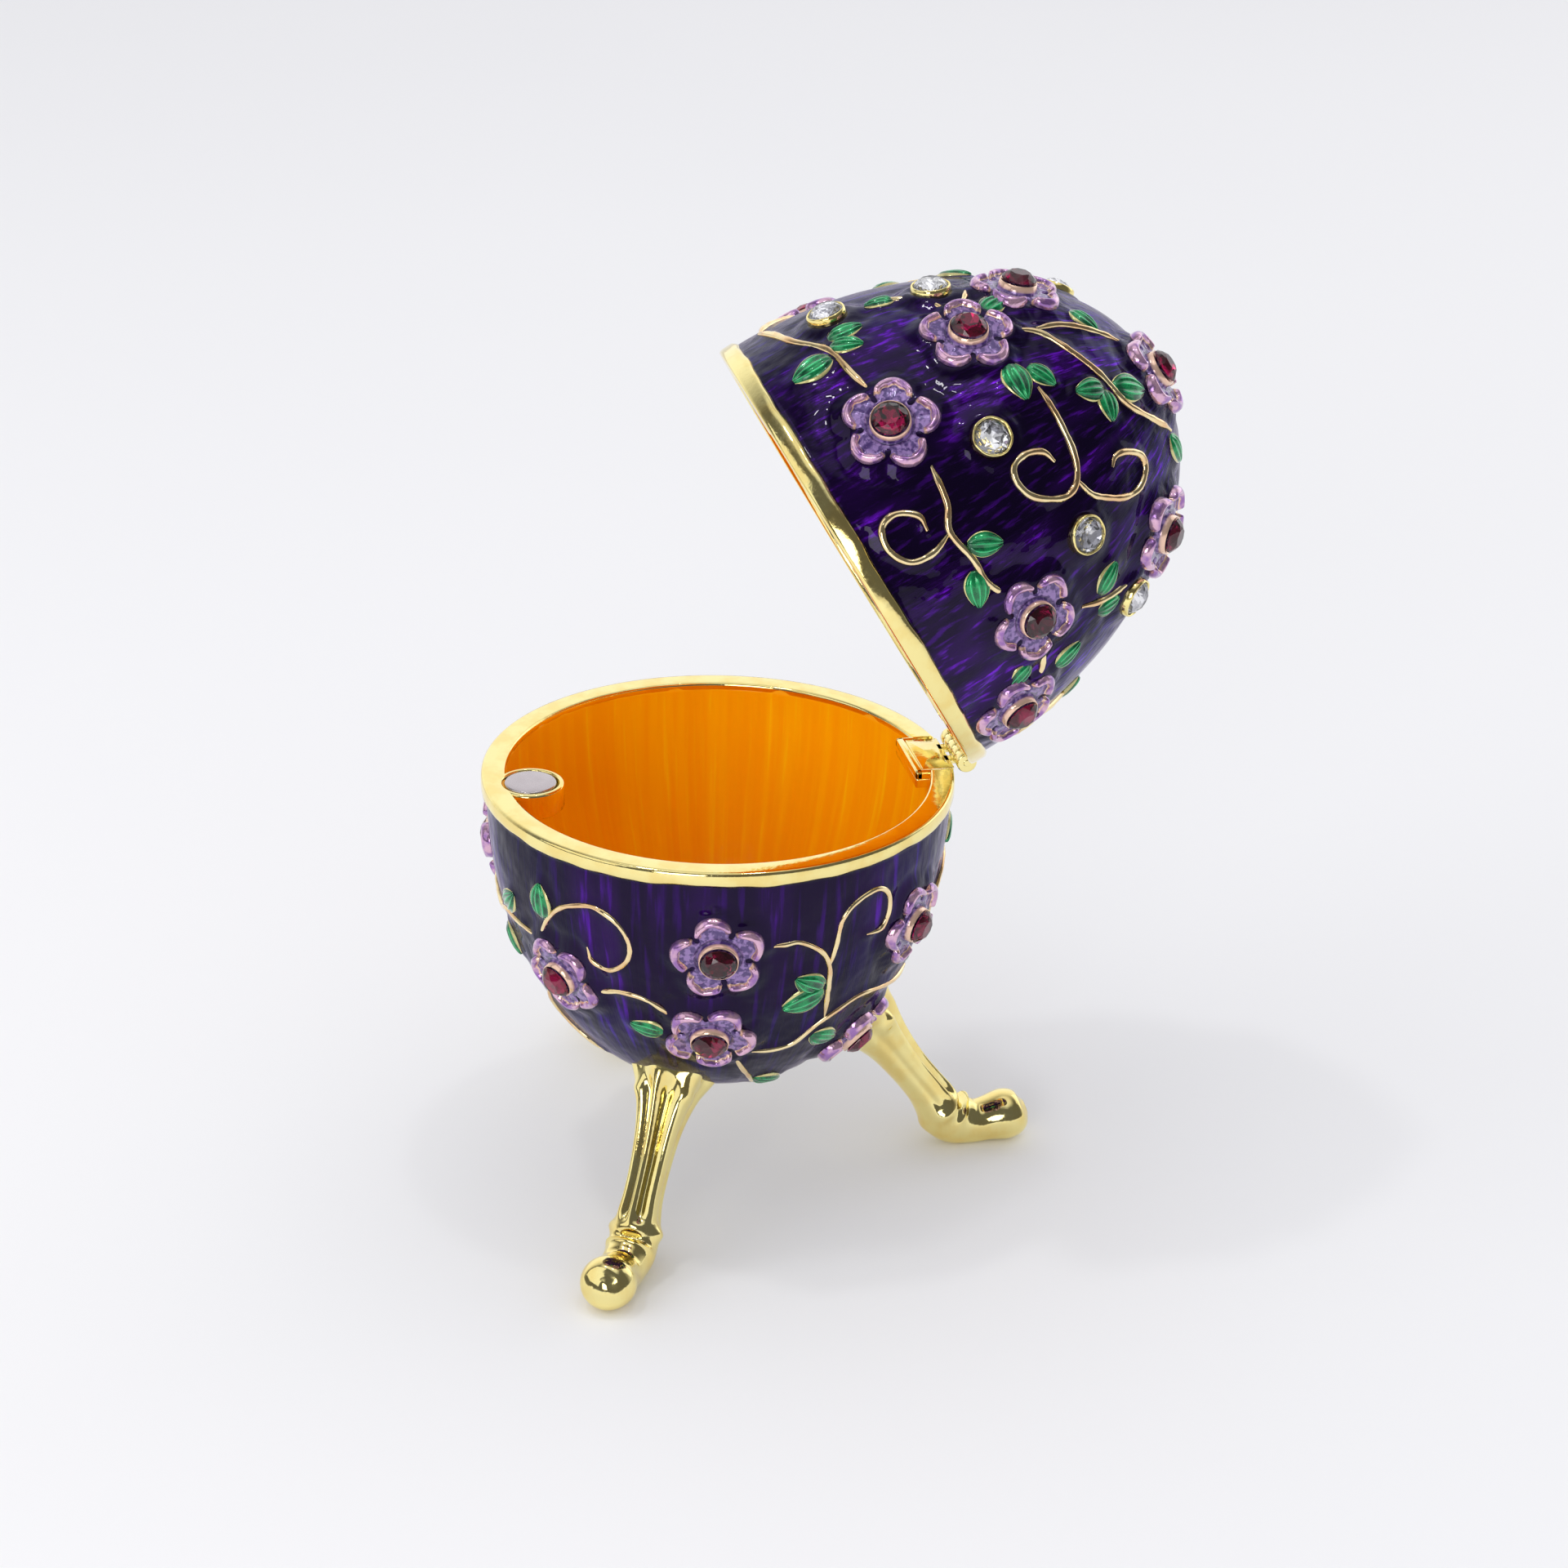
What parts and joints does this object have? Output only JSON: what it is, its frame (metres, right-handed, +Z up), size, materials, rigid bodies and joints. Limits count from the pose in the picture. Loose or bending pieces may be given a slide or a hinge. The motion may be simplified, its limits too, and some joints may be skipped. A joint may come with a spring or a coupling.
{
  "type": "jewelled egg trinket box",
  "caption": "Hinged enamelled metal egg on splayed cast legs, with raised flowers, set stones and a magnetic catch; the lid stands open.",
  "frame": {"origin": "bottom centre of the bounding box, on the surface the feet stand on", "axes": "+Z up, +Y towards the hinge at the back, +X to the right as seen from the catch side at the front"},
  "size_m": [0.071, 0.08, 0.1123],
  "materials": {
    "enamel": "deep violet translucent enamel over brushed metal, glossy",
    "gold": "pale gold plate over cast zinc alloy, mirror polished",
    "amber_enamel": "amber translucent enamel over vertically brushed metal, inside",
    "petal_enamel": "lavender enamel with rose-gold lips",
    "leaf_enamel": "emerald translucent enamel",
    "amethyst": "faceted wine-purple glass stone, foil backed",
    "crystal": "faceted clear glass stone, foil backed",
    "magnet": "nickel plated magnet, satin"
  },
  "bodies": {
    "base": {"bowl": "enamel", "bowl_amethyst_01": "amethyst", "bowl_amethyst_02": "amethyst", "bowl_amethyst_03": "amethyst", "bowl_amethyst_04": "amethyst", "bowl_amethyst_05": "amethyst", "bowl_amethyst_06": "amethyst", "bowl_amethyst_07": "amethyst", "bowl_amethyst_08": "amethyst", "bowl_amethyst_09": "amethyst", "bowl_amethyst_10": "amethyst", "hinge_leaf_bowl": "gold", "hinge_pin": "gold", "leg_back": "gold", "leg_left": "gold", "leg_right": "gold", "magnet_bowl": "magnet"},
    "lid": {"hinge_leaf_lid": "gold", "lid": "enamel", "lid_amethyst_01": "amethyst", "lid_amethyst_02": "amethyst", "lid_amethyst_03": "amethyst", "lid_amethyst_04": "amethyst", "lid_amethyst_05": "amethyst", "lid_amethyst_06": "amethyst", "lid_amethyst_07": "amethyst", "lid_amethyst_08": "amethyst", "lid_amethyst_09": "amethyst", "lid_amethyst_10": "amethyst", "lid_amethyst_11": "amethyst", "lid_amethyst_12": "amethyst", "lid_crystal_01": "crystal", "lid_crystal_02": "crystal", "lid_crystal_03": "crystal", "lid_crystal_04": "crystal", "lid_crystal_05": "crystal", "lid_crystal_06": "crystal", "lid_crystal_07": "crystal", "lid_crystal_08": "crystal", "lid_crystal_09": "crystal", "magnet_lid": "magnet"}
  },
  "joints": [
    {"name": "lid_hinge", "type": "hinge", "parent": "base", "child": "lid", "pos_m": [0.00403, 0.01639, 0.05355], "axis": [1, 0, 0], "range_deg": [0, 59.5]}
  ]
}
